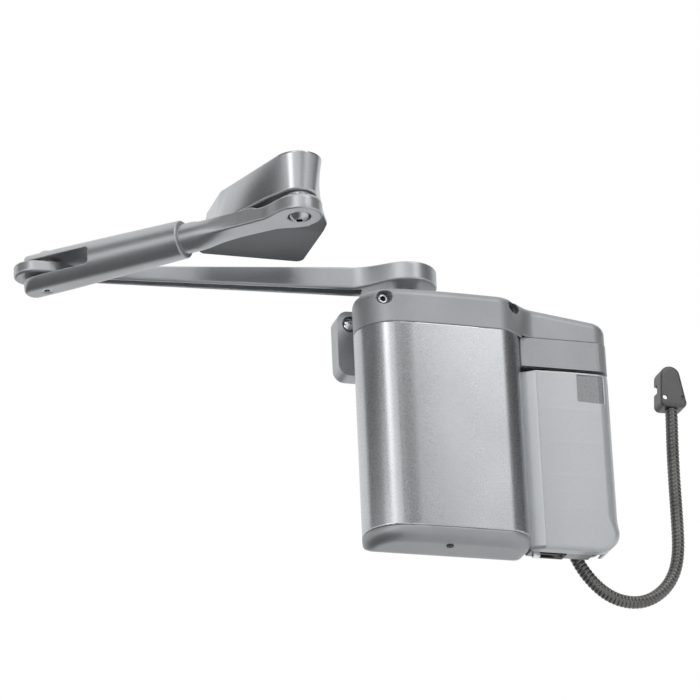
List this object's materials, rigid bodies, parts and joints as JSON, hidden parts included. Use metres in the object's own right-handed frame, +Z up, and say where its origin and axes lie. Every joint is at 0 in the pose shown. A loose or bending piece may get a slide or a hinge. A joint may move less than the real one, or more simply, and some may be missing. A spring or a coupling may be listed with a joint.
{
  "type": "automatic door operator",
  "caption": "Silver battery powered door operator with a closer body, a two-part swing arm with a clamped rod, a wedge frame shoe and an armoured cable loop.",
  "frame": {"origin": "centre of the rectangle of door screw holes, on the door face", "axes": "+X along the door to the right, +Y into the door, +Z up"},
  "size_m": [0.6531, 0.2266, 0.3543],
  "materials": {
    "silver_paint": "satin",
    "cap_paint": "satin",
    "arm_paint": "satin",
    "cast_body": "satin",
    "plate_steel": "satin",
    "bright_steel": "polished",
    "plain_steel": "satin",
    "black_steel": "satin",
    "brass": "satin",
    "spring_steel": "satin",
    "board": "matte",
    "black_plastic": "matte",
    "cover_plastic": "semi-gloss",
    "window_plastic": "gloss",
    "cell_skin": "gloss",
    "bronze_armour": "satin",
    "bronze_paint": "satin"
  },
  "bodies": {
    "operator": {"closer_body": "cast_body", "back_plate": "plate_steel", "pinion_bearings": "brass", "pinion_collar": "bright_steel", "end_plugs": "plain_steel", "valve_screws": "bright_steel", "gearbox_plates": "plate_steel", "motor": "black_steel", "motor_screws": "bright_steel", "circuit_board": "board", "board_parts": "black_plastic", "top_cap": "cap_paint", "front_cover": "silver_paint", "bottom_cap": "cap_paint", "cap_screws": "bright_steel", "bottom_screw": "bright_steel", "ear_screws": "bright_steel", "battery_housing": "cap_paint", "cover_latch": "bright_steel", "battery_cells": "cell_skin", "cell_holder": "black_plastic", "cell_contacts": "brass", "switch_bezel": "black_plastic", "loop_gland": "bronze_paint", "armoured_loop": "bronze_armour", "loop_end_cap": "bronze_paint"},
    "arm": {"pinion_shaft": "plain_steel", "output_gear": "brass", "main_arm": "arm_paint", "arm_screw": "black_steel"},
    "idler": {"idler_gear": "plain_steel"},
    "motor_rotor": {"motor_pinion": "plain_steel"},
    "piston": {"rack_piston": "plain_steel", "closer_spring": "spring_steel"},
    "forearm": {"forearm_tube": "arm_paint", "elbow_pin": "plain_steel", "elbow_washers": "brass", "rod_screw": "black_steel"},
    "rod": {"forearm_rod": "arm_paint"},
    "shoe": {"shoe": "arm_paint", "shoe_screw": "bright_steel"},
    "rocker": {"rocker": "black_plastic"},
    "cover": {"battery_cover": "cover_plastic", "cover_window": "window_plastic"}
  },
  "joints": [
    {"name": "pinion_turn", "type": "hinge", "parent": "operator", "child": "arm", "pos_m": [-0.059, -0.044, 0.141], "axis": [0, 0, 1], "range_deg": [-5, 140], "stiffness_Nm_per_rad": 3},
    {"name": "idler_turn", "type": "hinge", "parent": "operator", "child": "idler", "pos_m": [-0.01899, -0.0646, 0.04], "axis": [0, 0, 1], "range_deg": [-560, 20]},
    {"name": "motor_turn", "type": "hinge", "parent": "operator", "child": "motor_rotor", "pos_m": [-0.04499, -0.0646, 0.03], "axis": [0, 0, 1], "range_deg": [-67, 1867]},
    {"name": "piston_slide", "type": "slide", "parent": "operator", "child": "piston", "axis": [1, 0, 0], "range_m": [-0.0007, 0.0185], "deforming": ["closer_spring"]},
    {"name": "elbow_turn", "type": "hinge", "parent": "arm", "child": "forearm", "pos_m": [-0.39401, 0.00308, 0.141], "axis": [0, 0, 1], "range_deg": [-170, 0]},
    {"name": "rod_slide", "type": "slide", "parent": "forearm", "child": "rod", "axis": [0.7218, -0.6921, 0], "range_m": [-0.007, 0.04]},
    {"name": "shoe_turn", "type": "hinge", "parent": "rod", "child": "shoe", "pos_m": [-0.2031, -0.17999, 0.148], "axis": [0, 0, 1], "range_deg": [-120, 3]},
    {"name": "rocker_turn", "type": "hinge", "parent": "operator", "child": "rocker", "pos_m": [0.064, -0.0585, -0.1275], "axis": [0, 1, 0], "range_deg": [-16, 0]},
    {"name": "cover_slide", "type": "slide", "parent": "operator", "child": "cover", "axis": [0, -1, 0], "range_m": [0, 0.06]}
  ],
  "couplings": [
    {"joint": "idler_turn", "follows": "pinion_turn", "ratio": -4},
    {"joint": "motor_turn", "follows": "pinion_turn", "ratio": 13.333},
    {"joint": "piston_slide", "follows": "pinion_turn", "m_per_rad": 0.0075}
  ]
}
